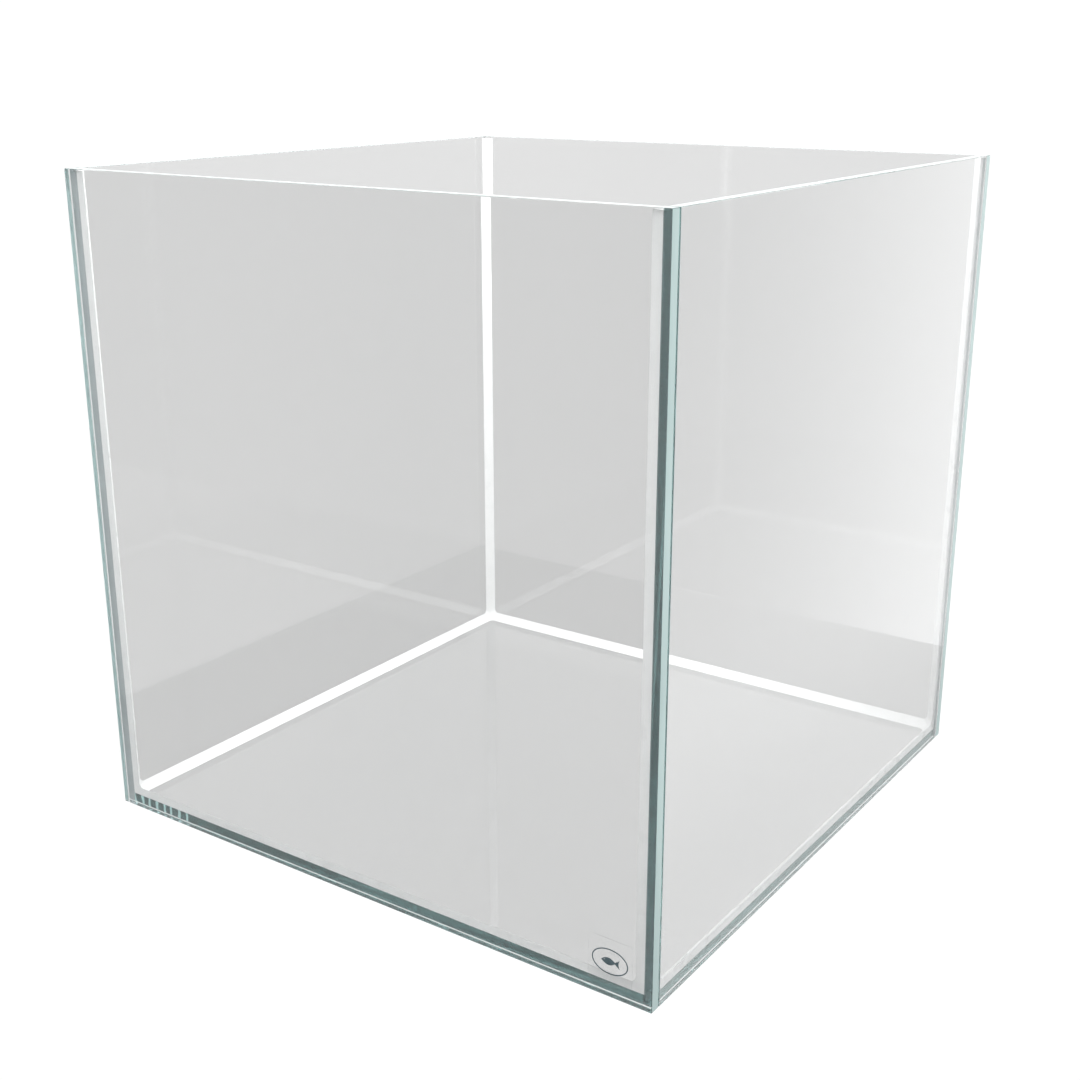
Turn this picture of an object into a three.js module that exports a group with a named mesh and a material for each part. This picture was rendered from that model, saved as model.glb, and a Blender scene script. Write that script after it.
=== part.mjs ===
// A rimless, open-topped glass cube aquarium. Five panes of clear glass are
// bonded with silicone: the front and back panes run the full width, the side
// panes stand between them, and the base lies inside all four. A fillet of
// silicone seals every inside corner. Millimetres, +Z up, front pane at -Y,
// origin at the middle of the footprint.
import * as THREE from 'three';
import { ConvexGeometry } from 'three/addons/geometries/ConvexGeometry.js';

// Driving dimensions.
const tankWidth = 300;
const tankDepth = 300;
const tankHeight = 302;
const glassThickness = 5;
const arris = 0.3; // flat ground along each cut edge of the glass
const bondThickness = 0.5; // silicone between a pane's edge and its neighbour
const bondRecess = 0.8; // how far a bond stops short of the outer faces
const sealLeg = 4; // the inside fillet's reach along each of its two faces
const sealTrim = 1; // how far the upright seals stop below the rim

const label = {
  width: 20,
  height: 20,
  filmThickness: 0.125,
  printThickness: 0.0625,
  centreX: 131,
  centreZ: 16,
};

// The inside faces that the panes leave between them.
const innerX = tankWidth / 2 - glassThickness;
const innerY = tankDepth / 2 - glassThickness;
const sideLength = 2 * (innerY - bondThickness);
const baseWidth = 2 * (innerX - bondThickness);
const bondWidth = glassThickness - bondRecess;
const flatThickness = glassThickness - 2 * arris;

const glass = { color: 0xe4f3f1, roughness: 0.02, metalness: 0, transparent: true, opacity: 0.35 };
const bondSilicone = { color: 0xdfe7e6, roughness: 0.3, metalness: 0 };
const sealSilicone = { color: 0xf2f5f4, roughness: 0.25, metalness: 0 };
const clearFilm = { color: 0xf4f6f6, roughness: 0.15, metalness: 0, transparent: true, opacity: 0.35 };
const labelInk = { color: 0x2c3b40, roughness: 0.4, metalness: 0 };

const tank = new THREE.Group();

function add(name, geometry, finish) {
  const mesh = new THREE.Mesh(geometry, new THREE.MeshStandardMaterial(finish));
  mesh.name = name;
  tank.add(mesh);
  return mesh;
}

// A pane lies in XY with its thickness centred on Z, and an arris on every edge.
function paneGeometry(width, height) {
  const halfWidth = width / 2 - arris;
  const halfHeight = height / 2 - arris;
  const outline = new THREE.Shape([
    new THREE.Vector2(-halfWidth, -halfHeight),
    new THREE.Vector2(halfWidth, -halfHeight),
    new THREE.Vector2(halfWidth, halfHeight),
    new THREE.Vector2(-halfWidth, halfHeight),
  ]);
  const geometry = new THREE.ExtrudeGeometry(outline, {
    depth: flatThickness,
    bevelThickness: arris,
    bevelSize: arris,
    bevelSegments: 1,
  });
  return geometry.translate(0, 0, -flatThickness / 2);
}

function addPanes() {
  const wallHeight = tankHeight / 2;
  const faceMiddle = tankDepth / 2 - glassThickness / 2;
  const sideMiddle = tankWidth / 2 - glassThickness / 2;
  for (const [name, side] of [['front_pane', -1], ['back_pane', 1]]) {
    const pane = add(name, paneGeometry(tankWidth, tankHeight), glass);
    pane.rotation.x = Math.PI / 2;
    pane.position.set(0, side * faceMiddle, wallHeight);
  }
  for (const [name, side] of [['left_pane', -1], ['right_pane', 1]]) {
    const pane = add(name, paneGeometry(sideLength, tankHeight), glass);
    pane.rotation.set(Math.PI / 2, Math.PI / 2, 0);
    pane.position.set(side * sideMiddle, 0, wallHeight);
  }
  const base = add('base_pane', paneGeometry(baseWidth, sideLength), glass);
  base.position.z = glassThickness / 2;
}

// Each upright bond is the flat strip of silicone between a side pane's edge
// and the front or back pane's face. Each base bond fills the joint round the
// base pane's edge. A bond is flush inside, where the seal covers it, and
// stops short of the outer faces.
function addBonds() {
  const bondX = innerX - bondThickness / 2;
  const bondY = innerY - bondThickness / 2;
  const bondZ = glassThickness - bondWidth / 2;
  const uprightX = innerX + bondWidth / 2;
  for (const [face, ySide] of [['front', -1], ['back', 1]]) {
    for (const [hand, xSide] of [['left', -1], ['right', 1]]) {
      const strip = new THREE.BoxGeometry(bondWidth, bondThickness, tankHeight - 2 * bondRecess);
      add(`${face}_${hand}_bond`, strip, bondSilicone)
        .position.set(xSide * uprightX, ySide * bondY, tankHeight / 2);
    }
    const strip = new THREE.BoxGeometry(2 * innerX, bondThickness, bondWidth);
    add(`${face}_base_bond`, strip, bondSilicone)
      .position.set(0, ySide * bondY, bondZ);
  }
  for (const [hand, xSide] of [['left', -1], ['right', 1]]) {
    const strip = new THREE.BoxGeometry(bondThickness, sideLength, bondWidth);
    add(`${hand}_base_bond`, strip, bondSilicone)
      .position.set(xSide * bondX, 0, bondZ);
  }
}

// A seal's section is a right triangle with its legs on the two faces it joins.
// Where three seals meet, each ends on the planes that halve the angle to its
// two neighbours. The end's points are given as (along, across, up) from the
// inside corner, along being the seal's own direction.
function mitredEnd() {
  return [
    [0, 0, 0],
    [sealLeg, sealLeg, 0],
    [sealLeg, 0, sealLeg],
    [sealLeg / 2, sealLeg / 2, sealLeg / 2],
  ];
}

function cornerPoint(xSide, ySide, inX, inY, up) {
  return new THREE.Vector3(xSide * (innerX - inX), ySide * (innerY - inY), glassThickness + up);
}

function addSeals() {
  const sides = [-1, 1];
  for (const [face, ySide] of [['front', -1], ['back', 1]]) {
    const points = sides.flatMap((xSide) => mitredEnd()
      .map(([along, across, up]) => cornerPoint(xSide, ySide, along, across, up)));
    add(`${face}_base_seal`, new ConvexGeometry(points), sealSilicone);
  }
  for (const [hand, xSide] of [['left', -1], ['right', 1]]) {
    const points = sides.flatMap((ySide) => mitredEnd()
      .map(([along, across, up]) => cornerPoint(xSide, ySide, across, along, up)));
    add(`${hand}_base_seal`, new ConvexGeometry(points), sealSilicone);
  }
  const sealTop = tankHeight - sealTrim - glassThickness;
  for (const [face, ySide] of [['front', -1], ['back', 1]]) {
    for (const [hand, xSide] of [['left', -1], ['right', 1]]) {
      const foot = mitredEnd()
        .map(([up, inX, inY]) => cornerPoint(xSide, ySide, inX, inY, up));
      const top = [[0, 0], [sealLeg, 0], [0, sealLeg]]
        .map(([inX, inY]) => cornerPoint(xSide, ySide, inX, inY, sealTop));
      add(`${face}_${hand}_seal`, new ConvexGeometry([...foot, ...top]), sealSilicone);
    }
  }
}

// An oval ring round a plain fish, as one print on a square of clear film.
function fishOutline() {
  const fish = new THREE.Shape();
  fish.moveTo(-4.2, 0);
  fish.quadraticCurveTo(-0.8, 3.2, 2.4, 0.5);
  fish.lineTo(4.6, 2);
  fish.lineTo(3.9, 0);
  fish.lineTo(4.6, -2);
  fish.lineTo(2.4, -0.5);
  fish.quadraticCurveTo(-0.8, -3.2, -4.2, 0);
  return fish;
}

function ringOutline() {
  const outer = { x: 8.25, y: 5.6 };
  const line = 0.4;
  const ring = new THREE.Shape();
  ring.absellipse(0, 0, outer.x, outer.y, 0, 2 * Math.PI);
  const hole = new THREE.Path();
  hole.absellipse(0, 0, outer.x - line, outer.y - line, 0, 2 * Math.PI, true);
  ring.holes.push(hole);
  return ring;
}

function addLabel() {
  const face = -tankDepth / 2;
  const film = new THREE.BoxGeometry(label.width, label.filmThickness, label.height);
  add('label_film', film, clearFilm)
    .position.set(label.centreX, face - label.filmThickness / 2, label.centreZ);
  for (const [name, outline] of [['label_ring', ringOutline()], ['label_fish', fishOutline()]]) {
    const print = add(name, new THREE.ExtrudeGeometry(outline, {
      depth: label.printThickness,
      bevelEnabled: false,
      curveSegments: 10,
    }), labelInk);
    print.rotation.x = Math.PI / 2;
    print.position.set(label.centreX, face - label.filmThickness, label.centreZ);
  }
}

addPanes();
addBonds();
addSeals();
addLabel();

export default tank;
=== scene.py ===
import math
import random

import bmesh
import bpy
from mathutils import Matrix, Vector


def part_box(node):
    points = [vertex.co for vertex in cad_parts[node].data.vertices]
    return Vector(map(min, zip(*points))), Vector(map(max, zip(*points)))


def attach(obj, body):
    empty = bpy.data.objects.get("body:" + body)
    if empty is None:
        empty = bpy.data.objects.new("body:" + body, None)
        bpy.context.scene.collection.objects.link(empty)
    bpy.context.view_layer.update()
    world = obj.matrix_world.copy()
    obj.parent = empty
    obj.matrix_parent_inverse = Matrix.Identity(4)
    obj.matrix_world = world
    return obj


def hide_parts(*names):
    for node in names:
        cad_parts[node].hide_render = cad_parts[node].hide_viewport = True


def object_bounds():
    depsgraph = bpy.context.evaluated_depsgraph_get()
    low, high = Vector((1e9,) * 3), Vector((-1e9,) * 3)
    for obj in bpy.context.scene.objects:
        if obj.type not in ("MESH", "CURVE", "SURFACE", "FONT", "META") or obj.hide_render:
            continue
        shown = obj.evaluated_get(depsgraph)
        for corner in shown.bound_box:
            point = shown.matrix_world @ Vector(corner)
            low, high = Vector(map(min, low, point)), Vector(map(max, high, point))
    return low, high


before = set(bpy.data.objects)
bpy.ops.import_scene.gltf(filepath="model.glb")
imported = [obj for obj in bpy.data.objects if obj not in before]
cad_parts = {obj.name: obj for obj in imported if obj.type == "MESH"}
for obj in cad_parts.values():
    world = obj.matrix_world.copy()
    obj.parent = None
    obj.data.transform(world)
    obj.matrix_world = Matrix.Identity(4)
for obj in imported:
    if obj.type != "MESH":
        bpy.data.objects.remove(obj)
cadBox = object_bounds()
scene = bpy.context.scene
mm = 0.001
contact = 0.01 * mm  # silicone bonds reach this far into the glass, so that light passes
airGap = 0.05 * mm  # the inside seals stand this far off the glass
weld = 0.001 * mm  # points nearer than this become one
siliconeIor = 1.41

cameraView = {
    "place": (0.3950, -0.5750, 0.3507),
    "azimuth": 34.92,
    "elevation": 18.14,
    "roll": 0.067,
    "lens": 50.08,
    "sensor": 36.0,
    "clip": (0.01, 50),
}


def makeCamera():
    azimuth = math.radians(cameraView["azimuth"])
    elevation = math.radians(cameraView["elevation"])
    back = Vector((
        math.sin(azimuth) * math.cos(elevation),
        -math.cos(azimuth) * math.cos(elevation),
        math.sin(elevation),
    ))
    right = Vector((0, 0, 1)).cross(back).normalized()
    up = back.cross(right)
    turn = Matrix((right, up, back)).transposed().to_4x4()
    turn = turn @ Matrix.Rotation(-math.radians(cameraView["roll"]), 4, "Z")
    data = bpy.data.cameras.new("camera")
    data.lens = cameraView["lens"]
    data.sensor_width = cameraView["sensor"]
    data.clip_start, data.clip_end = cameraView["clip"]
    camera = bpy.data.objects.new("camera", data)
    camera.matrix_world = Matrix.Translation(cameraView["place"]) @ turn
    scene.collection.objects.link(camera)
    scene.camera = camera


def newGroup(name, inputs, outputs):
    group = bpy.data.node_groups.new(name, "ShaderNodeTree")
    for label, kind, value in inputs:
        socket = group.interface.new_socket(label, in_out="INPUT", socket_type=kind)
        if value is not None:
            socket.default_value = value
    for label, kind in outputs:
        group.interface.new_socket(label, in_out="OUTPUT", socket_type=kind)
    return group


noiseSpan = (0.3, 0.7)  # the part of the noise's range that is spread from low to high


def makeSoftNoise():
    # One noise, stretched by a vector and mapped between two values.
    group = newGroup(
        "softNoise",
        [
            ("Vector", "NodeSocketVector", None),
            ("Stretch", "NodeSocketVector", (1, 1, 1)),
            ("Scale", "NodeSocketFloat", 5.0),
            ("Detail", "NodeSocketFloat", 2.0),
            ("Low", "NodeSocketFloat", 0.0),
            ("High", "NodeSocketFloat", 1.0),
        ],
        [("Value", "NodeSocketFloat")],
    )
    nodes, links = group.nodes, group.links
    given = nodes.new("NodeGroupInput")
    stretch = nodes.new("ShaderNodeVectorMath")
    stretch.operation = "MULTIPLY"
    noise = nodes.new("ShaderNodeTexNoise")
    spread = nodes.new("ShaderNodeMapRange")
    spread.inputs["From Min"].default_value = noiseSpan[0]
    spread.inputs["From Max"].default_value = noiseSpan[1]
    result = nodes.new("NodeGroupOutput")
    links.new(given.outputs["Vector"], stretch.inputs[0])
    links.new(given.outputs["Stretch"], stretch.inputs[1])
    links.new(stretch.outputs[0], noise.inputs["Vector"])
    links.new(given.outputs["Scale"], noise.inputs["Scale"])
    links.new(given.outputs["Detail"], noise.inputs["Detail"])
    links.new(noise.outputs["Fac"], spread.inputs["Value"])
    links.new(given.outputs["Low"], spread.inputs["To Min"])
    links.new(given.outputs["High"], spread.inputs["To Max"])
    links.new(spread.outputs["Result"], result.inputs["Value"])
    return group


softNoise = makeSoftNoise()


def newMaterial(name, colour, roughness, ior):
    material = bpy.data.materials.new(name)
    material.use_nodes = True
    shader = material.node_tree.nodes["Principled BSDF"]
    shader.inputs["Base Color"].default_value = (*colour, 1)
    shader.inputs["Roughness"].default_value = roughness
    shader.inputs["IOR"].default_value = ior
    return material, material.node_tree.nodes, material.node_tree.links, shader


def addNoise(nodes, links, scale, low, high, stretch=(1, 1, 1), detail=2.0):
    place = nodes.new("ShaderNodeTexCoord")
    noise = nodes.new("ShaderNodeGroup")
    noise.node_tree = softNoise
    noise.inputs["Stretch"].default_value = stretch
    noise.inputs["Scale"].default_value = scale
    noise.inputs["Detail"].default_value = detail
    noise.inputs["Low"].default_value = low
    noise.inputs["High"].default_value = high
    links.new(place.outputs["Object"], noise.inputs["Vector"])
    return noise.outputs["Value"]


def addBump(nodes, links, shader, height, strength, distance):
    bump = nodes.new("ShaderNodeBump")
    bump.inputs["Strength"].default_value = strength
    bump.inputs["Distance"].default_value = distance
    links.new(height, bump.inputs["Height"])
    links.new(bump.outputs["Normal"], shader.inputs["Normal"])


def addMaths(nodes, links, operation, first, second=None, third=None):
    node = nodes.new("ShaderNodeMath")
    node.operation = operation
    for socket, value in zip(node.inputs, (first, second, third)):
        if isinstance(value, (int, float)):
            socket.default_value = value
        elif value is not None:
            links.new(value, socket)
    return node.outputs[0]


def blendColours(nodes, links, amount, first, second):
    mix = nodes.new("ShaderNodeMix")
    mix.data_type = "RGBA"
    mix.inputs["A"].default_value = (*first, 1)
    mix.inputs["B"].default_value = (*second, 1)
    links.new(amount, mix.inputs["Factor"])
    return mix.outputs["Result"]


glassLook = {
    "tint": (0.818, 0.812, 0.812),
    "tintDeep": (0.810, 0.805, 0.805),
    "ior": 1.52,
    "edgeColour": (0.55, 0.86, 0.84),
    "edgeDensity": 5.0,
    "hazeScale": 6.0,
    "hazeStretch": (1, 1, 0.25),
}


def makeClearGlass():
    # Nearly neutral through the face, though deeper than low-iron glass, and cyan edge-on.
    material, nodes, links, shader = newMaterial("clearGlass", glassLook["tint"], 0.0, glassLook["ior"])
    shader.inputs["Transmission Weight"].default_value = 1.0
    haze = addNoise(nodes, links, glassLook["hazeScale"], 0.0, 1.0, stretch=glassLook["hazeStretch"])
    colour = blendColours(nodes, links, haze, glassLook["tint"], glassLook["tintDeep"])
    links.new(colour, shader.inputs["Base Color"])
    absorb = nodes.new("ShaderNodeVolumeAbsorption")
    absorb.inputs["Color"].default_value = (*glassLook["edgeColour"], 1)
    absorb.inputs["Density"].default_value = glassLook["edgeDensity"]
    links.new(absorb.outputs["Volume"], nodes["Material Output"].inputs["Volume"])
    return material


# Painted light and shade: the ground finish in three copies, painted lighter or darker by place, for the ends
# that face the light, the ends that face away from it, and the rims. Each copy has two colours, mixed by the
# grain of the grinding.
edgePaintedLightLooks = {
    "lit": ((0.235, 0.305, 0.300), (0.205, 0.272, 0.267)),
    "shaded": ((0.77, 1.0, 0.99), (0.69, 0.92, 0.91)),
    "rim": ((0.41, 0.44, 0.435), (0.36, 0.39, 0.385)),
}
edgeFinish = {
    "roughness": 0.35,
    "clarity": 0.25,
    "detail": 3.0,
    "grindScale": 120.0,
    "grindStretch": (1, 1, 0.15),
    "scratchScale": 900.0,
    "scratchStretch": (1, 1, 0.1),
    "scratchStrength": 0.2,
    "scratchDepth": 0.05 * mm,
}


def makeEdgeWithPaintedLight(look):
    # The cut edges are ground to a satin: part of the light scatters, part goes in. The base colours are
    # painted light and shade, one copy per look.
    light, dark = edgePaintedLightLooks[look]
    material, nodes, links, shader = newMaterial(
        look + "GroundEdgePaintedLight", light, edgeFinish["roughness"], glassLook["ior"])
    shader.inputs["Transmission Weight"].default_value = edgeFinish["clarity"]
    detail = edgeFinish["detail"]
    grind = addNoise(nodes, links, edgeFinish["grindScale"], 0.0, 1.0, edgeFinish["grindStretch"], detail)
    colour = blendColours(nodes, links, grind, light, dark)
    links.new(colour, shader.inputs["Base Color"])
    scratch = addNoise(
        nodes, links, edgeFinish["scratchScale"], 0.0, 1.0, edgeFinish["scratchStretch"], detail)
    addBump(nodes, links, shader, scratch, edgeFinish["scratchStrength"], edgeFinish["scratchDepth"])
    return material


# How each joint's silicone looks: its two colours and how clear it is. The three looks are copies of one
# silicone, painted lighter or darker per joint as painted light and shade.
bondPaintedLightLooks = {
    "deepPaintedShade": ((0.40, 0.47, 0.48), (0.34, 0.41, 0.42), 1.0),
    "tealPaintedLight": ((0.74, 0.80, 0.80), (0.68, 0.75, 0.75), 0.75),
    "milkyPaintedLight": ((0.56, 0.595, 0.61), (0.50, 0.535, 0.55), 0.35),
}
bondCloudScale = 40.0
# Painted glints: bright rungs of glow on the deep bond, standing in for reflections in the joint.
paintedGlintRungs = {
    "spacing": 5.2 * mm,
    "share": 0.3,
    "until": -106 * mm,
    "colour": (0.72, 1.0, 0.98),
    "paintedGlow": 0.28,
    "waver": 0.2,
    "waverScale": 90.0,
}


def makeBondWithPaintedLight(look):
    light, dark, clarity = bondPaintedLightLooks[look]
    material, nodes, links, shader = newMaterial(look + "Silicone", light, 0.0, siliconeIor)
    shader.inputs["Transmission Weight"].default_value = clarity
    cloud = addNoise(nodes, links, bondCloudScale, 0.0, 1.0)
    colour = blendColours(nodes, links, cloud, light, dark)
    if look == "deepPaintedShade":
        # Painted glints: bright rungs near the left end, a faint glow painted on to stand in for reflections of
        # the left pane's end in the joint, not made by the optics.
        place = nodes.new("ShaderNodeTexCoord")
        parts = nodes.new("ShaderNodeSeparateXYZ")
        links.new(place.outputs["Object"], parts.inputs[0])
        count = addMaths(nodes, links, "DIVIDE", parts.outputs["X"], paintedGlintRungs["spacing"])
        waver = addNoise(nodes, links, paintedGlintRungs["waverScale"], -paintedGlintRungs["waver"], paintedGlintRungs["waver"])
        beat = addMaths(nodes, links, "FRACT", addMaths(nodes, links, "ADD", count, waver))
        onRung = addMaths(nodes, links, "LESS_THAN", beat, paintedGlintRungs["share"])
        nearEnd = addMaths(nodes, links, "LESS_THAN", parts.outputs["X"], paintedGlintRungs["until"])
        amount = addMaths(nodes, links, "MULTIPLY", onRung, nearEnd)
        glint = blendColours(nodes, links, amount, (0, 0, 0), paintedGlintRungs["colour"])
        links.new(glint, shader.inputs["Emission Color"])
        shader.inputs["Emission Strength"].default_value = paintedGlintRungs["paintedGlow"]
    links.new(colour, shader.inputs["Base Color"])
    return material


sealLook = {
    "light": (0.87, 0.875, 0.875),
    "dark": (0.82, 0.83, 0.83),
    "roughness": 0.32,
    "cloudScale": 30.0,
    "cloudDetail": 3.0,
    "sheen": (0.24, 0.42),
    "sheenScale": 90.0,
    "dragScale": 220.0,
    "dragStrength": 0.15,
    "dragDepth": 0.2 * mm,
}


def makeSealSilicone():
    # White silicone with the faint drag marks of the tool.
    material, nodes, links, shader = newMaterial(
        "sealSilicone", sealLook["light"], sealLook["roughness"], siliconeIor)
    cloud = addNoise(nodes, links, sealLook["cloudScale"], 0.0, 1.0, detail=sealLook["cloudDetail"])
    colour = blendColours(nodes, links, cloud, sealLook["light"], sealLook["dark"])
    links.new(colour, shader.inputs["Base Color"])
    sheen = addNoise(nodes, links, sealLook["sheenScale"], *sealLook["sheen"])
    links.new(sheen, shader.inputs["Roughness"])
    drag = addNoise(nodes, links, sealLook["dragScale"], 0.0, 1.0)
    addBump(nodes, links, shader, drag, sealLook["dragStrength"], sealLook["dragDepth"])
    return material


filmLook = {
    "tint": (0.99, 0.99, 0.99),
    "roughness": 0.04,
    "ior": 1.25,  # below a real film's, so that it hardly darkens what is behind it
    "rippleScale": 160.0,
    "rippleStrength": 0.05,
    "rippleDepth": 0.05 * mm,
}


def makeClearFilm():
    material, nodes, links, shader = newMaterial(
        "clearFilm", filmLook["tint"], filmLook["roughness"], filmLook["ior"])
    shader.inputs["Transmission Weight"].default_value = 1.0
    ripple = addNoise(nodes, links, filmLook["rippleScale"], 0.0, 1.0)
    addBump(nodes, links, shader, ripple, filmLook["rippleStrength"], filmLook["rippleDepth"])
    return material


inkLook = {
    "colour": (0.02, 0.035, 0.045),
    "dense": (0.012, 0.024, 0.03),
    "thin": (0.03, 0.05, 0.058),
    "roughness": 0.45,
    "ior": 1.45,
    "patchScale": 700.0,
    "patchDetail": 4.0,
}


def makeLabelInk():
    material, nodes, links, shader = newMaterial(
        "labelInk", inkLook["colour"], inkLook["roughness"], inkLook["ior"])
    patch = addNoise(nodes, links, inkLook["patchScale"], 0.0, 1.0, detail=inkLook["patchDetail"])
    colour = blendColours(nodes, links, patch, inkLook["dense"], inkLook["thin"])
    links.new(colour, shader.inputs["Base Color"])
    return material


finishes = {
    "clear_glass": makeClearGlass(),
    "seal_silicone": makeSealSilicone(),
    "clear_film": makeClearFilm(),
    "label_ink": makeLabelInk(),
}
edgePaintedLightFinishes = {look: makeEdgeWithPaintedLight(look) for look in edgePaintedLightLooks}
bondPaintedLightFinishes = {look: makeBondWithPaintedLight(look) for look in bondPaintedLightLooks}
print("finishes made:", ", ".join(finishes))


def shadeByAngle(mesh, degrees):
    # Smooth shading, but sharp where two faces meet at more than the angle.
    for polygon in mesh.polygons:
        polygon.use_smooth = True
    mesh.set_sharp_from_angle(angle=math.radians(degrees))


def finishPiece(name, mesh, slotName, nodeName, *materials):
    if mesh.materials:
        mesh.materials.clear()  # this also sets every face back to the first material
    for material in materials or (finishes[slotName],):
        mesh.materials.append(material)
    piece = bpy.data.objects.new(name, mesh)
    scene.collection.objects.link(piece)
    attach(piece, "root")
    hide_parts(nodeName)
    return piece


def meshFrom(shape, name):
    bmesh.ops.recalc_face_normals(shape, faces=shape.faces)
    mesh = bpy.data.meshes.new(name)
    shape.to_mesh(mesh)
    shape.free()
    return mesh


paneEdges = {
    "arris": 0.3 * mm,
    "arrisSteps": 3,
    "profile": 0.4,
    "skin": 0.06 * mm,  # depth of the ground finish on an open edge
}
paneNames = ["front_pane", "back_pane", "left_pane", "right_pane", "base_pane"]


def addBevelledBox(shape, low, high, offset):
    made = bmesh.ops.create_cube(shape, size=1)["verts"]
    for corner in made:
        corner.co = Vector(low[axis] if corner.co[axis] < 0 else high[axis] for axis in range(3))
    bmesh.ops.bevel(
        shape,
        geom=list({edge for corner in made for edge in corner.link_edges}),
        offset=offset,
        offset_type="OFFSET",
        segments=paneEdges["arrisSteps"],
        profile=paneEdges["profile"],
        affect="EDGES",
    )


def makePane(nodeName):
    # A sheet with a softly polished arris along every edge. The edges that stay in the open, along the rim and
    # at the outer corners, carry a ground skin, whose colours are painted light and shade.
    low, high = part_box(nodeName)
    skin, arris = paneEdges["skin"], paneEdges["arris"]
    openSides = []
    if nodeName != "base_pane":
        openSides.append((2, 1))
    if nodeName in ("front_pane", "back_pane"):
        openSides += [(0, -1), (0, 1)]
    glassLow, glassHigh = low.copy(), high.copy()
    edges = bmesh.new()
    for axis, side in openSides:
        plateLow = Vector(value + arris for value in low)
        plateHigh = Vector(value - arris for value in high)
        if side > 0:
            glassHigh[axis] = high[axis] - skin
            plateLow[axis], plateHigh[axis] = glassHigh[axis] - contact, high[axis]
        else:
            glassLow[axis] = low[axis] + skin
            plateLow[axis], plateHigh[axis] = low[axis], glassLow[axis] + contact
        addBevelledBox(edges, plateLow, plateHigh, contact)
    glass = bmesh.new()
    addBevelledBox(glass, glassLow, glassHigh, arris)
    finishPiece(nodeName + "_glass", meshFrom(glass, nodeName + "Mesh"), "clear_glass", nodeName)
    if openSides:
        mesh = meshFrom(edges, nodeName + "EdgeMesh")
        looks = ["rim"]
        if len(openSides) > 1:
            looks += ["lit", "shaded"]
            # Painted light and shade: the right ends take the lit copy, the left ends the shaded copy, all
            # other faces the rim copy.
            end = cadBox[1][0] - arris
            for polygon in mesh.polygons:
                reach = [mesh.vertices[k].co.x for k in polygon.vertices]
                polygon.material_index = 1 if min(reach) > end else 2 if max(reach) < -end else 0
        materials = [edgePaintedLightFinishes[look] for look in looks]
        finishPiece(nodeName + "_ground_edges_painted_light", mesh, "clear_glass", nodeName, *materials)
    else:
        edges.free()


for paneName in paneNames:
    makePane(paneName)
print("panes made:", len(paneNames))


bondShape = {
    "hollow": 0.18 * mm,  # how far the middle of the outer edge is drawn in
    "wander": 0.16 * mm,  # how far the outer edge strays along the joint
    "step": 4.0 * mm,
    "meniscusSteps": 4,
    "waves": 5,
    "waveRate": (20, 160),
    "waveSize": (0.2, 1),
    "endFade": 8,  # the straying dies away over one part in this many, at each end
    "seed": 11,
}


def bondSection(thickness, width):
    # Across the joint (x) and from the inside face outwards (y), anticlockwise.
    half = thickness / 2 + contact
    steps = bondShape["meniscusSteps"]
    angles = [math.pi * k / steps for k in range(steps + 1)]
    meniscus = [(half * math.cos(a), width - bondShape["hollow"] * math.sin(a)) for a in angles]
    return [(-half, 0), (half, 0), *meniscus]


def makeBond(nodeName, look, along, across, inside):
    # along and across are axis numbers; inside is +1 or -1, the way the outer edge faces.
    low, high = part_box(nodeName)
    outward = 3 - along - across
    thickness = high[across] - low[across]
    width = high[outward] - low[outward]
    middle = (high[across] + low[across]) / 2
    start = low[outward] if inside > 0 else high[outward]
    length = high[along] - low[along]
    steps = max(2, round(length / bondShape["step"]))
    dice = random.Random(f"{bondShape['seed']} {nodeName}")
    rates, sizes = bondShape["waveRate"], bondShape["waveSize"]
    waves = [
        (dice.uniform(*rates), dice.uniform(0, math.tau), dice.uniform(*sizes))
        for _ in range(bondShape["waves"])
    ]
    total = sum(wave[2] for wave in waves)
    shape = bmesh.new()
    rings = []
    for k in range(steps + 1):
        t = k / steps
        place = low[along] + length * t
        fade = min(1, bondShape["endFade"] * t, bondShape["endFade"] * (1 - t))
        drift = sum(size * math.sin(rate * place + phase) for rate, phase, size in waves) / total
        section = bondSection(thickness, width - bondShape["wander"] * (0.5 + 0.5 * drift) * fade)
        ring = []
        for x, y in section:
            point = [0, 0, 0]
            point[along] = place
            point[across] = middle + x
            point[outward] = start + inside * y
            ring.append(shape.verts.new(point))
        rings.append(ring)
    for first, second in zip(rings, rings[1:]):
        for k in range(len(first)):
            following = (k + 1) % len(first)
            shape.faces.new((first[k], first[following], second[following], second[k]))
    shape.faces.new(rings[0])
    shape.faces.new(rings[-1])
    mesh = meshFrom(shape, nodeName + "Mesh")
    finishPiece(nodeName + "_silicone", mesh, "bond_silicone", nodeName, bondPaintedLightFinishes[look])


# Each joint takes one painted light or shade copy of the same silicone.
makeBond("front_left_bond", "milkyPaintedLight", along=2, across=1, inside=-1)
makeBond("front_right_bond", "deepPaintedShade", along=2, across=1, inside=1)
makeBond("back_left_bond", "milkyPaintedLight", along=2, across=1, inside=-1)
makeBond("back_right_bond", "milkyPaintedLight", along=2, across=1, inside=1)
makeBond("left_base_bond", "tealPaintedLight", along=1, across=0, inside=-1)
makeBond("right_base_bond", "tealPaintedLight", along=1, across=0, inside=-1)
makeBond("front_base_bond", "deepPaintedShade", along=0, across=1, inside=-1)
makeBond("back_base_bond", "tealPaintedLight", along=0, across=1, inside=-1)
print("bonds made: 8")


sealShape = {
    "cornerRound": 3.2 * mm,  # radius where an upright seal meets a base seal
    "hollow": 0.10,  # how far the face is drawn in, as a share of the leg
    "wander": 0.12 * mm,
    "faceSteps": 8,
    "step": 1.0 * mm,
    "swayScale": 45.0,
    "calmRate": 60.0,  # how quickly the wander sets in beyond a mitred end, per metre
    "sharpAngle": 35,
    "seed": 7,
    "seedStep": 3.7,
}


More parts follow.
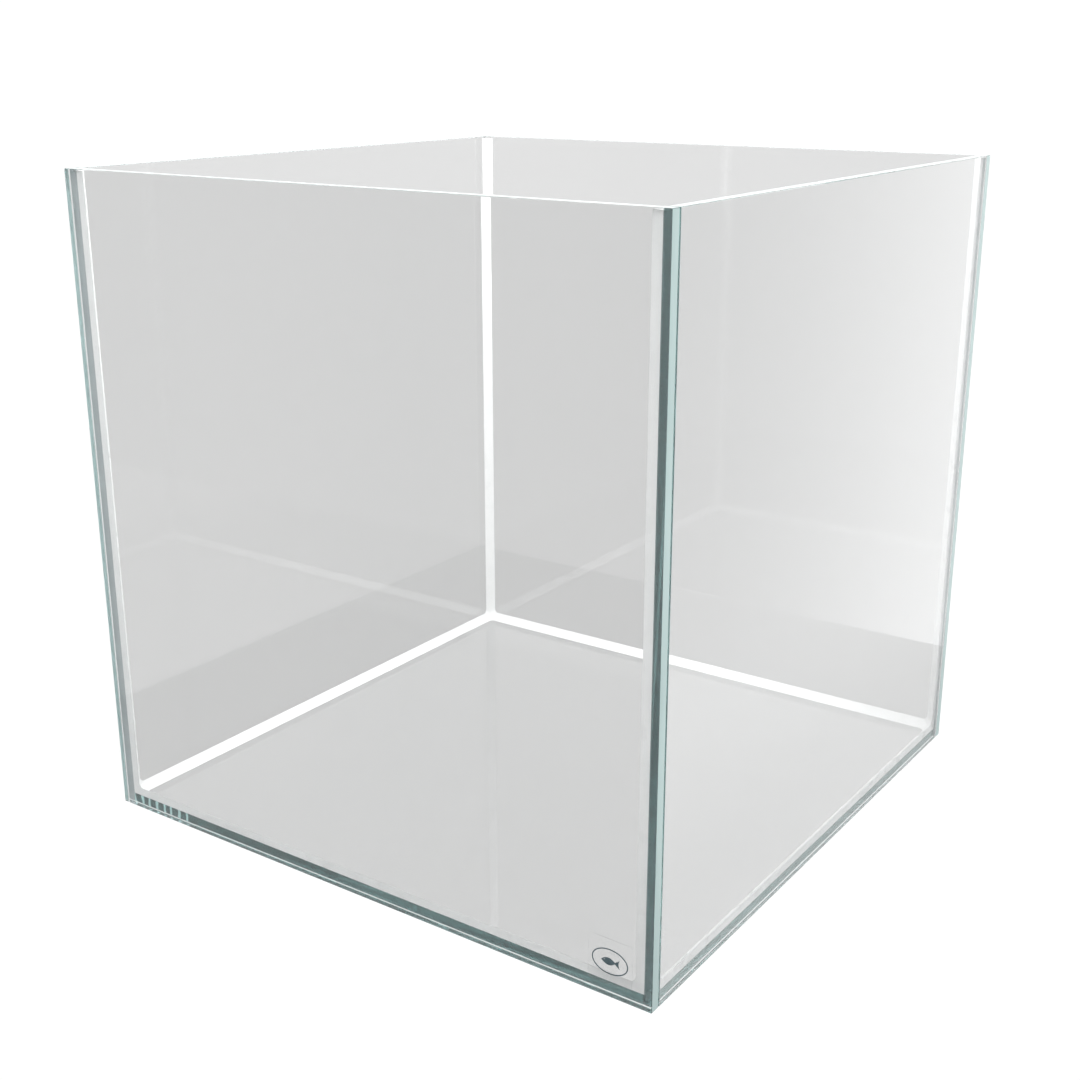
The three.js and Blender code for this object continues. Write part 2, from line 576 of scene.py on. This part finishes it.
def makeSealTree():
    # One bead of silicone along +X, its two legs along the sweep's own axes. Its leg
    # swells towards a mitred end, so that the outlines of two beads meet in a round.
    tree = bpy.data.node_groups.new("sealBead", "GeometryNodeTree")
    wanted = [
        ("Length", "NodeSocketFloat", 0.29),
        ("Leg", "NodeSocketFloat", 0.004),
        ("Corner Round", "NodeSocketFloat", 0.003),
        ("Hollow", "NodeSocketFloat", 0.1),
        ("Wander", "NodeSocketFloat", 0.0001),
        ("Seed", "NodeSocketFloat", 0.0),
        ("Mitred Ends", "NodeSocketFloat", 2.0),
        ("Steps", "NodeSocketInt", 300),
        ("Face Steps", "NodeSocketInt", 8),
        ("Material", "NodeSocketMaterial", None),
    ]
    for label, kind, value in wanted:
        socket = tree.interface.new_socket(label, in_out="INPUT", socket_type=kind)
        if value is not None:
            socket.default_value = value
    tree.interface.new_socket("Geometry", in_out="OUTPUT", socket_type="NodeSocketGeometry")
    nodes, links = tree.nodes, tree.links
    given = nodes.new("NodeGroupInput").outputs

    def maths(operation, first, second=None, third=None):
        return addMaths(nodes, links, operation, first, second, third)

    # The path, and how far each of its points ends up from the nearest mitred end.
    farEnd = nodes.new("ShaderNodeCombineXYZ")
    links.new(given["Length"], farEnd.inputs["X"])
    path = nodes.new("GeometryNodeCurvePrimitiveLine")
    links.new(farEnd.outputs[0], path.inputs["End"])
    resample = nodes.new("GeometryNodeResampleCurve")
    links.new(path.outputs["Curve"], resample.inputs["Curve"])
    links.new(given["Steps"], resample.inputs["Count"])
    spline = nodes.new("GeometryNodeSplineParameter")
    mitreLeg = maths("MULTIPLY_ADD", given["Corner Round"], 1 - math.sqrt(0.5), given["Leg"])
    pull = maths("MULTIPLY", given["Mitred Ends"], mitreLeg)
    shrink = maths("SUBTRACT", 1.0, maths("DIVIDE", pull, given["Length"]))
    along = maths("MULTIPLY_ADD", spline.outputs["Length"], shrink, mitreLeg)
    rest = maths("SUBTRACT", given["Length"], along)
    openEnd = maths("LESS_THAN", given["Mitred Ends"], 1.5)  # one mitred end, not two
    fromFar = maths("ADD", rest, openEnd)
    nearest = maths("MINIMUM", along, fromFar)

    # The leg's swell near a mitred end, and its slow wander elsewhere.
    reach = maths("ADD", given["Leg"], given["Corner Round"])
    turn = maths("DIVIDE", maths("SUBTRACT", reach, nearest), given["Corner Round"])
    turn = maths("MINIMUM", maths("MAXIMUM", turn, 0.0), 1.0)
    arc = maths("SQRT", maths("SUBTRACT", 1.0, maths("MULTIPLY", turn, turn)))
    swell = maths("MULTIPLY", given["Corner Round"], maths("SUBTRACT", 1.0, arc))
    noise = nodes.new("ShaderNodeTexNoise")
    noise.noise_dimensions = "2D"
    noise.inputs["Scale"].default_value = sealShape["swayScale"]
    noise.inputs["Detail"].default_value = 1.0
    place = nodes.new("ShaderNodeCombineXYZ")
    links.new(spline.outputs["Length"], place.inputs["X"])
    links.new(given["Seed"], place.inputs["Y"])
    links.new(place.outputs[0], noise.inputs["Vector"])
    sway = maths("MULTIPLY", maths("SUBTRACT", noise.outputs[0], 0.5), 2.0)
    calm = maths("MULTIPLY", maths("SUBTRACT", nearest, mitreLeg), sealShape["calmRate"])
    calm = maths("MINIMUM", calm, 1.0)
    calm = maths("MAXIMUM", calm, 0.0)
    wander = maths("MULTIPLY", maths("MULTIPLY", sway, calm), given["Wander"])
    leg = maths("ADD", maths("ADD", given["Leg"], swell), wander)

    # The section: the inside corner, then a hollow face from one leg's tip to the other's.
    ring = nodes.new("GeometryNodeCurvePrimitiveCircle")
    links.new(maths("ADD", given["Face Steps"], 2.0), ring.inputs["Resolution"])
    index = nodes.new("GeometryNodeInputIndex").outputs[0]
    t = maths("DIVIDE", maths("SUBTRACT", index, 1.0), given["Face Steps"])
    s = maths("SUBTRACT", 1.0, t)
    bow = maths("MULTIPLY", maths("MULTIPLY", maths("MULTIPLY", t, s), 2.0),
                maths("SUBTRACT", 0.5, given["Hollow"]))
    onFace = maths("GREATER_THAN", index, 0.5)
    sectionX = maths("MULTIPLY", maths("MULTIPLY_ADD", s, s, bow), onFace)
    sectionY = maths("MULTIPLY", maths("MULTIPLY_ADD", t, t, bow), onFace)
    sectionPlace = nodes.new("ShaderNodeCombineXYZ")
    links.new(sectionX, sectionPlace.inputs["X"])
    links.new(sectionY, sectionPlace.inputs["Y"])
    section = nodes.new("GeometryNodeSetPosition")
    links.new(ring.outputs["Curve"], section.inputs["Geometry"])
    links.new(sectionPlace.outputs[0], section.inputs["Position"])

    sweep = nodes.new("GeometryNodeCurveToMesh")
    links.new(resample.outputs["Curve"], sweep.inputs["Curve"])
    links.new(leg, sweep.inputs["Scale"])
    links.new(section.outputs["Geometry"], sweep.inputs["Profile Curve"])
    sweep.inputs["Fill Caps"].default_value = True

    # Each end leans back along the planes that it shares with its two neighbours.
    position = nodes.new("GeometryNodeInputPosition")
    parts = nodes.new("ShaderNodeSeparateXYZ")
    links.new(position.outputs[0], parts.inputs[0])
    away = maths("MAXIMUM", maths("ABSOLUTE", parts.outputs["Y"]), maths("ABSOLUTE", parts.outputs["Z"]))
    share = maths("DIVIDE", maths("MULTIPLY", parts.outputs["X"], given["Mitred Ends"]), given["Length"])
    lean = nodes.new("ShaderNodeCombineXYZ")
    links.new(maths("MULTIPLY", away, maths("SUBTRACT", 1.0, share)), lean.inputs["X"])
    mitre = nodes.new("GeometryNodeSetPosition")
    links.new(sweep.outputs["Mesh"], mitre.inputs["Geometry"])
    links.new(lean.outputs[0], mitre.inputs["Offset"])

    realize = nodes.new("GeometryNodeRealizeInstances")
    links.new(mitre.outputs["Geometry"], realize.inputs["Geometry"])
    setMaterial = nodes.new("GeometryNodeSetMaterial")
    links.new(realize.outputs["Geometry"], setMaterial.inputs["Geometry"])
    links.new(given["Material"], setMaterial.inputs["Material"])
    result = nodes.new("NodeGroupOutput")
    links.new(setMaterial.outputs["Geometry"], result.inputs["Geometry"])
    return tree


def runTree(tree, name, values):
    # Builds a plain mesh from a tree, with its inputs set by their identifiers.
    carrier = bpy.data.objects.new(name, bpy.data.meshes.new(name))
    scene.collection.objects.link(carrier)
    modifier = carrier.modifiers.new(name, "NODES")
    modifier.node_group = tree
    sockets = {item.name: item.identifier for item in tree.interface.items_tree if item.in_out == "INPUT"}
    for label, value in values.items():
        modifier[sockets[label]] = value
    bpy.context.view_layer.update()
    evaluated = carrier.evaluated_get(bpy.context.evaluated_depsgraph_get())
    mesh = bpy.data.meshes.new_from_object(evaluated)
    carrier.modifiers.remove(modifier)
    bpy.data.objects.remove(carrier)
    return mesh


def closeEnds(mesh):
    # Each end is a fan of triangles about the inside corner, so that it lies
    # exactly on the two planes it shares with its neighbours.
    shape = bmesh.new()
    shape.from_mesh(mesh)
    for cap in [face for face in shape.faces if len(face.verts) > 4]:
        ring = cap.verts[:]
        corner = min(ring, key=lambda vert: abs(vert.co.y) + abs(vert.co.z))
        start = ring.index(corner)
        ring = ring[start:] + ring[:start]
        shape.faces.remove(cap)
        for k in range(1, len(ring) - 1):
            shape.faces.new((corner, ring[k], ring[k + 1]))
    bmesh.ops.recalc_face_normals(shape, faces=shape.faces)
    shape.to_mesh(mesh)
    shape.free()


sealTree = makeSealTree()


def makeSeal(nodeName, number, corner, alongWay, legs, mitredEnds, length):
    # corner is where the bead starts; alongWay and legs are unit vectors.
    mesh = runTree(sealTree, nodeName + "Bead", {
        "Length": length,
        "Leg": sealLeg,
        "Corner Round": sealShape["cornerRound"],
        "Hollow": sealShape["hollow"],
        "Wander": sealShape["wander"],
        "Seed": sealShape["seed"] + sealShape["seedStep"] * number,
        "Mitred Ends": float(mitredEnds),
        "Steps": round(length / sealShape["step"]) + 1,
        "Face Steps": sealShape["faceSteps"],
        "Material": finishes["seal_silicone"],
    })
    closeEnds(mesh)
    points = [vert.co.copy() for vert in mesh.vertices]
    spanY = max(points, key=lambda point: abs(point.y)).y
    spanZ = max(points, key=lambda point: abs(point.z)).z
    signY = 1 if spanY > 0 else -1
    signZ = 1 if spanZ > 0 else -1
    first, second = legs
    gap = (first + second) * airGap
    for vert, point in zip(mesh.vertices, points):
        vert.co = corner + alongWay * point.x + first * (signY * point.y) + second * (signZ * point.z) + gap
    shape = bmesh.new()
    shape.from_mesh(mesh)
    bmesh.ops.recalc_face_normals(shape, faces=shape.faces)
    shape.to_mesh(mesh)
    shape.free()
    shadeByAngle(mesh, sealShape["sharpAngle"])
    finishPiece(nodeName + "_bead", mesh, "seal_silicone", nodeName)


insideLow = Vector((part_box("left_pane")[1].x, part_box("front_pane")[1].y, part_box("base_pane")[1].z))
insideHigh = Vector((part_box("right_pane")[0].x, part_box("back_pane")[0].y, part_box("front_left_seal")[1].z))
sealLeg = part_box("front_base_seal")[1].z - insideLow.z
xAxis, yAxis, zAxis = Vector((1, 0, 0)), Vector((0, 1, 0)), Vector((0, 0, 1))
xCorner = {"left": insideLow.x, "right": insideHigh.x}
yCorner = {"front": insideLow.y, "back": insideHigh.y}
xWay = {"left": xAxis, "right": -xAxis}
yWay = {"front": yAxis, "back": -yAxis}
width, depth = insideHigh.x - insideLow.x, insideHigh.y - insideLow.y
number = 0
for face in ("front", "back"):
    start = Vector((insideLow.x, yCorner[face], insideLow.z))
    makeSeal(f"{face}_base_seal", number, start, xAxis, (yWay[face], zAxis), 2, width)
    number += 1
for hand in ("left", "right"):
    start = Vector((xCorner[hand], insideLow.y, insideLow.z))
    makeSeal(f"{hand}_base_seal", number, start, yAxis, (xWay[hand], zAxis), 2, depth)
    number += 1
for face in ("front", "back"):
    for hand in ("left", "right"):
        start = Vector((xCorner[hand], yCorner[face], insideLow.z))
        rise = insideHigh.z - insideLow.z
        makeSeal(f"{face}_{hand}_seal", number, start, zAxis, (xWay[hand], yWay[face]), 1, rise)
        number += 1
print("seals made:", number)


labelShape = {
    "filmRound": 1.2 * mm,
    "ringLine": 0.48 * mm,
    "ringSteps": 96,
    "cornerSteps": 6,
}
# The fish, as shares of its half length and half height. The belly mirrors the back.
fishShape = {
    "nose": (-0.91, 0.0),
    "back": (-0.2, 1.55),
    "waist": (0.5, 0.16),
    "tailRoot": (0.72, 0.45),
    "tailTip": (1.0, 0.98),
    "tailNotch": (0.78, 0.0),
    "eye": (-0.58, 0.22),
    "eyeSize": (0.055, 0.12),
    "bodySteps": 10,
    "tailSteps": 6,
    "notchSteps": 8,
    "eyeSteps": 12,
}


def plateFromOutlines(name, outlines, centre, back, front):
    # Outlines are lists of (x, z) about the centre; the second and later ones are
    # holes or separate marks, as the curve's fill takes them.
    curve = bpy.data.curves.new(name, "CURVE")
    curve.dimensions = "2D"
    curve.fill_mode = "BOTH"
    curve.extrude = (back - front) / 2
    for outline in outlines:
        spline = curve.splines.new("POLY")
        spline.points.add(len(outline) - 1)
        for point, (x, z) in zip(spline.points, outline):
            point.co = (x, z, 0, 1)
        spline.use_cyclic_u = True
    carrier = bpy.data.objects.new(name, curve)
    scene.collection.objects.link(carrier)
    bpy.context.view_layer.update()
    mesh = bpy.data.meshes.new_from_object(carrier.evaluated_get(bpy.context.evaluated_depsgraph_get()))
    bpy.data.objects.remove(carrier)
    mesh.transform(Matrix.Translation((centre[0], (back + front) / 2, centre[1]))
                   @ Matrix.Rotation(math.pi / 2, 4, "X"))
    shape = bmesh.new()
    shape.from_mesh(mesh)
    bmesh.ops.remove_doubles(shape, verts=shape.verts, dist=weld)
    bmesh.ops.recalc_face_normals(shape, faces=shape.faces)
    shape.to_mesh(mesh)
    shape.free()
    return mesh


def roundedRectangle(halfWidth, halfHeight, radius):
    outline = []
    steps = labelShape["cornerSteps"]
    for k, (sideX, sideZ) in enumerate(((1, 1), (-1, 1), (-1, -1), (1, -1))):
        for step in range(steps + 1):
            angle = math.pi / 2 * (k + step / steps)
            outline.append((sideX * (halfWidth - radius) + radius * math.cos(angle),
                            sideZ * (halfHeight - radius) + radius * math.sin(angle)))
    return outline


def ovalRing(halfWidth, halfHeight):
    outlines = []
    angles = [math.tau * k / labelShape["ringSteps"] for k in range(labelShape["ringSteps"])]
    for inset in (0, labelShape["ringLine"]):
        reachX, reachZ = halfWidth - inset, halfHeight - inset
        outlines.append([(reachX * math.cos(a), reachZ * math.sin(a)) for a in angles])
    return outlines


def bezier(start, pull, end, steps):
    return [tuple((1 - t) ** 2 * a + 2 * t * (1 - t) * b + t * t * c for a, b, c in zip(start, pull, end))
            for t in (k / steps for k in range(steps))]


def fishOutline(halfLength, halfHeight):
    # Nose, back, tail and belly of a plain fish, then its eye as a hole.
    nose, waist, tip = fishShape["nose"], fishShape["waist"], fishShape["tailTip"]
    back, root, notch = fishShape["back"], fishShape["tailRoot"], fishShape["tailNotch"]
    bodySteps, tailSteps = fishShape["bodySteps"], fishShape["tailSteps"]

    def mirrored(point):
        return (point[0], -point[1])

    body = bezier(nose, back, waist, bodySteps) + bezier(waist, root, tip, tailSteps)
    body += bezier(tip, notch, mirrored(tip), fishShape["notchSteps"])
    body += bezier(mirrored(tip), mirrored(root), mirrored(waist), tailSteps)
    body += bezier(mirrored(waist), mirrored(back), nose, bodySteps)
    (eyeX, eyeZ), (sizeX, sizeZ) = fishShape["eye"], fishShape["eyeSize"]
    angles = [math.tau * k / fishShape["eyeSteps"] for k in range(fishShape["eyeSteps"])]
    eye = [(eyeX + sizeX * math.cos(a), eyeZ + sizeZ * math.sin(a)) for a in angles]
    return [[(x * halfLength, z * halfHeight) for x, z in outline] for outline in (body, eye)]


def makeLabel():
    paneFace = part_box("front_pane")[0].y
    low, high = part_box("label_film")
    centre = ((low.x + high.x) / 2, (low.z + high.z) / 2)
    outline = roundedRectangle((high.x - low.x) / 2, (high.z - low.z) / 2, labelShape["filmRound"])
    film = plateFromOutlines("labelFilmMesh", [outline], centre, paneFace + contact, low.y)
    finishPiece("label_film_sheet", film, "clear_film", "label_film")
    filmFace = low.y
    low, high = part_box("label_ring")
    ring = plateFromOutlines("labelRingMesh", ovalRing((high.x - low.x) / 2, (high.z - low.z) / 2),
                             centre, filmFace + contact, low.y)
    finishPiece("label_ring_print", ring, "label_ink", "label_ring")
    low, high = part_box("label_fish")
    fish = plateFromOutlines("labelFishMesh", fishOutline((high.x - low.x) / 2, (high.z - low.z) / 2),
                             centre, filmFace + contact, low.y)
    finishPiece("label_fish_print", fish, "label_ink", "label_fish")


makeLabel()
print("label made")


studio = {
    "seen": 1.03,
    "table": 0.86,
    # The table's brighter right side is a painted pool of light.
    "tableSide": (0.10, 0.30, 1.6),  # from and to along X, and the glow's gain on the right
    "tableLow": (-0.250, -0.420, -0.0003),
    "tableHigh": (0.420, 0.272, -0.0003),
    "ramp": [(0.0, 0.93), (0.47, 0.95), (0.52, 1.3), (1.0, 1.9)],
    # Gains: from and to, as a share of one axis in a direction, and the gain at each.
    "sideGain": (0.50, 0.26, 1.15, 1.75),
    "sideKeep": (-0.2, 0.0, 0.0, 1.0),
    "frontGain": (0.0, -0.5, 1.0, 1.1),
    "softGain": (0.2, 0.9, 1.45, 2.1),  # applied only to light that has been scattered
    "guidedBounces": 96,
    "scatteredBounces": 6,
}


def makeWorld():
    # White to the camera; what the glass and silicone see is a soft studio, grey
    # below the horizon and bright above it, with a lit wall behind on the right.
    world = bpy.data.worlds.new("studio")
    scene.world = world
    world.cycles.sampling_method = "NONE"
    world.use_nodes = True
    nodes, links = world.node_tree.nodes, world.node_tree.links
    nodes.clear()
    place = nodes.new("ShaderNodeTexCoord")
    parts = nodes.new("ShaderNodeSeparateXYZ")
    links.new(place.outputs["Generated"], parts.inputs[0])
    height = nodes.new("ShaderNodeMapRange")
    height.inputs["From Min"].default_value = -1
    links.new(parts.outputs["Z"], height.inputs["Value"])
    ramp = nodes.new("ShaderNodeValToRGB")
    stops = ramp.color_ramp.elements
    for k, (spot, value) in enumerate(studio["ramp"]):
        stop = stops[k] if k < 2 else stops.new(spot)
        stop.position = spot
        stop.color = (value, value, value, 1)
    links.new(height.outputs["Result"], ramp.inputs["Fac"])

    def gainAlong(axis, values):
        gain = nodes.new("ShaderNodeMapRange")
        gain.interpolation_type = "SMOOTHSTEP"
        for label, value in zip(("From Min", "From Max", "To Min", "To Max"), values):
            gain.inputs[label].default_value = value
        links.new(parts.outputs[axis], gain.inputs["Value"])
        return gain.outputs[0]

    def maths(operation, first, second, third=None):
        return addMaths(nodes, links, operation, first, second, third)

    side = maths("SUBTRACT", gainAlong("X", studio["sideGain"]), 1.0)
    side = maths("MULTIPLY_ADD", side, gainAlong("X", studio["sideKeep"]), 1.0)
    path = nodes.new("ShaderNodeLightPath")
    scattered = maths("MINIMUM", path.outputs["Diffuse Depth"], 1.0)
    soft = maths("SUBTRACT", gainAlong("X", studio["softGain"]), 1.0)
    soft = maths("MULTIPLY_ADD", soft, scattered, 1.0)
    gain = maths("MULTIPLY", maths("MULTIPLY", side, soft), gainAlong("Y", studio["frontGain"]))
    around = nodes.new("ShaderNodeBackground")
    links.new(ramp.outputs["Color"], around.inputs["Color"])
    links.new(gain, around.inputs["Strength"])
    seen = nodes.new("ShaderNodeBackground")
    seen.inputs["Color"].default_value = (1, 1, 1, 1)
    seen.inputs["Strength"].default_value = studio["seen"]
    mix = nodes.new("ShaderNodeMixShader")
    result = nodes.new("ShaderNodeOutputWorld")
    links.new(path.outputs["Is Camera Ray"], mix.inputs["Fac"])
    links.new(around.outputs[0], mix.inputs[1])
    links.new(seen.outputs[0], mix.inputs[2])
    links.new(mix.outputs[0], result.inputs["Surface"])


def makeTable():
    material = bpy.data.materials.new("paleTable")
    material.use_nodes = True
    nodes, links = material.node_tree.nodes, material.node_tree.links
    nodes.clear()
    path = nodes.new("ShaderNodeLightPath")
    seen = nodes.new("ShaderNodeEmission")
    seen.inputs["Strength"].default_value = studio["seen"]
    place = nodes.new("ShaderNodeTexCoord")
    parts = nodes.new("ShaderNodeSeparateXYZ")
    links.new(place.outputs["Object"], parts.inputs[0])
    # Painted light: the table glows brighter towards its right side, a painted pool of light seen through the
    # glass.
    paintedGlow = nodes.new("ShaderNodeMapRange")
    start, end, gain = studio["tableSide"]
    paintedGlow.interpolation_type = "SMOOTHSTEP"
    paintedGlow.inputs["From Min"].default_value = start
    paintedGlow.inputs["From Max"].default_value = end
    paintedGlow.inputs["To Min"].default_value = studio["table"]
    paintedGlow.inputs["To Max"].default_value = studio["table"] * gain
    links.new(parts.outputs["X"], paintedGlow.inputs["Value"])
    around = nodes.new("ShaderNodeEmission")
    links.new(paintedGlow.outputs["Result"], around.inputs["Strength"])
    mix = nodes.new("ShaderNodeMixShader")
    result = nodes.new("ShaderNodeOutputMaterial")
    links.new(path.outputs["Is Camera Ray"], mix.inputs["Fac"])
    links.new(around.outputs[0], mix.inputs[1])
    links.new(seen.outputs[0], mix.inputs[2])
    links.new(mix.outputs[0], result.inputs["Surface"])
    material.cycles.emission_sampling = "NONE"
    low, high = studio["tableLow"], studio["tableHigh"]
    mesh = bpy.data.meshes.new("table")
    corners = [(low[0], low[1]), (high[0], low[1]), (high[0], high[1]), (low[0], high[1])]
    mesh.from_pydata([(x, y, low[2]) for x, y in corners], [], [(0, 1, 2, 3)])
    mesh.materials.append(material)
    table = bpy.data.objects.new("table", mesh)
    scene.collection.objects.link(table)


makeWorld()
makeTable()
scene.view_settings.view_transform = "Standard"
# Light guided along a pane is reflected dozens of times before it leaves.
scene.cycles.max_bounces = studio["guidedBounces"]
scene.cycles.transmission_bounces = studio["guidedBounces"]
scene.cycles.glossy_bounces = studio["guidedBounces"]
scene.cycles.diffuse_bounces = studio["scatteredBounces"]
makeCamera()
print("studio and camera made")
